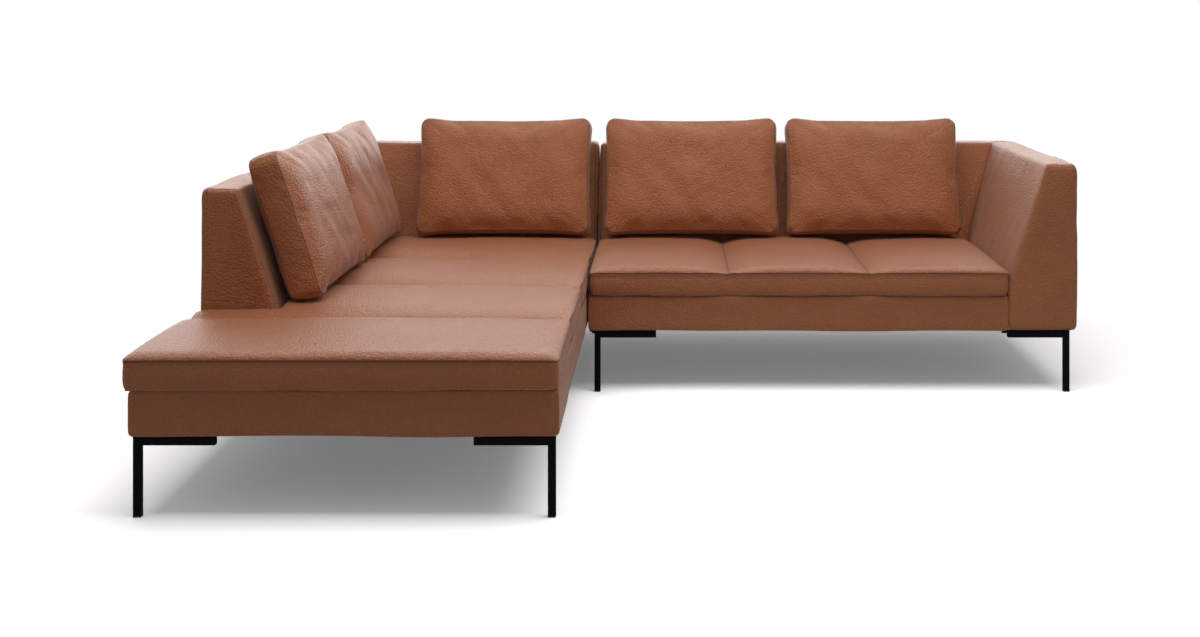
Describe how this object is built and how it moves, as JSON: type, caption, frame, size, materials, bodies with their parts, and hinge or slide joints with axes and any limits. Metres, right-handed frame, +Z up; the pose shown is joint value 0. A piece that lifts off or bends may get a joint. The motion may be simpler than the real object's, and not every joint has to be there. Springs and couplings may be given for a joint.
{
  "type": "corner sofa",
  "caption": "Leather corner sofa: chaise section on the left, sofa section with an arm on the right, channelled seats, loose back cushions and slim black steel legs.",
  "frame": {"origin": "on the floor under the middle of the whole outline", "axes": "+X along the sofa section to the right as seen from the front, +Y to the rear, +Z up"},
  "size_m": [2.738, 2.218, 0.8695],
  "materials": {
    "leather": "satin, pebble grained",
    "timber": "sawn",
    "leg_steel": "satin black powder coat",
    "glide": "matt",
    "hardware_steel": "zinc plated",
    "foam": "open cell foam",
    "webbing": "woven",
    "dust_cloth": "non-woven"
  },
  "bodies": {
    "chaise_module": {"chaise_front_rail": "timber", "chaise_rear_rail": "timber", "chaise_outer_rail": "timber", "chaise_inner_rail": "timber", "chaise_seat_rails": "timber", "chaise_corner_blocks": "timber", "chaise_webbing": "webbing", "chaise_dust_cover": "dust_cloth", "chaise_front_apron": "leather", "chaise_inner_apron": "leather", "chaise_outer_apron": "leather", "chaise_seat_core": "foam", "chaise_seat_pad": "leather", "chaise_side_back_cover": "leather", "chaise_side_back_frame": "timber", "chaise_rear_back_cover": "leather", "chaise_rear_back_frame": "timber", "chaise_leg_front_left": "leg_steel", "chaise_leg_front_right": "leg_steel", "chaise_leg_rear_left": "leg_steel", "chaise_leg_rear_right": "leg_steel", "chaise_glides": "glide", "chaise_back_bolts": "hardware_steel", "chaise_link_plates": "hardware_steel"},
    "sofa_module": {"sofa_front_rail": "timber", "sofa_rear_rail": "timber", "sofa_left_rail": "timber", "sofa_right_rail": "timber", "sofa_seat_rails": "timber", "sofa_corner_blocks": "timber", "sofa_webbing": "webbing", "sofa_dust_cover": "dust_cloth", "sofa_front_apron": "leather", "sofa_left_apron": "leather", "sofa_seat_core": "foam", "sofa_seat_pad": "leather", "sofa_rear_back_cover": "leather", "sofa_rear_back_frame": "timber", "sofa_arm_cover": "leather", "sofa_arm_frame": "timber", "sofa_leg_front_left": "leg_steel", "sofa_leg_front_right": "leg_steel", "sofa_leg_rear_left": "leg_steel", "sofa_leg_rear_right": "leg_steel", "sofa_glides": "glide", "sofa_back_bolts": "hardware_steel", "sofa_link_pins": "hardware_steel"},
    "side_cushion_near": {"side_cushion_near_cover": "leather", "side_cushion_near_core": "foam"},
    "side_cushion_far": {"side_cushion_far_cover": "leather", "side_cushion_far_core": "foam"},
    "rear_cushion": {"rear_cushion_cover": "leather", "rear_cushion_core": "foam"},
    "sofa_cushion_left": {"sofa_cushion_left_cover": "leather", "sofa_cushion_left_core": "foam"},
    "sofa_cushion_right": {"sofa_cushion_right_cover": "leather", "sofa_cushion_right_core": "foam"}
  },
  "joints": [
    {"name": "sofa_module_lift", "type": "slide", "parent": "chaise_module", "child": "sofa_module", "axis": [0, 0, 1], "range_m": [0, 0.03]},
    {"name": "side_cushion_near_lift", "type": "slide", "parent": "chaise_module", "child": "side_cushion_near", "axis": [0, 0, 1], "range_m": [0, 0.45]},
    {"name": "side_cushion_far_lift", "type": "slide", "parent": "chaise_module", "child": "side_cushion_far", "axis": [0, 0, 1], "range_m": [0, 0.45]},
    {"name": "rear_cushion_lift", "type": "slide", "parent": "chaise_module", "child": "rear_cushion", "axis": [0, 0, 1], "range_m": [0, 0.45]},
    {"name": "sofa_cushion_left_lift", "type": "slide", "parent": "sofa_module", "child": "sofa_cushion_left", "axis": [0, 0, 1], "range_m": [0, 0.45]},
    {"name": "sofa_cushion_right_lift", "type": "slide", "parent": "sofa_module", "child": "sofa_cushion_right", "axis": [0, 0, 1], "range_m": [0, 0.45]}
  ]
}
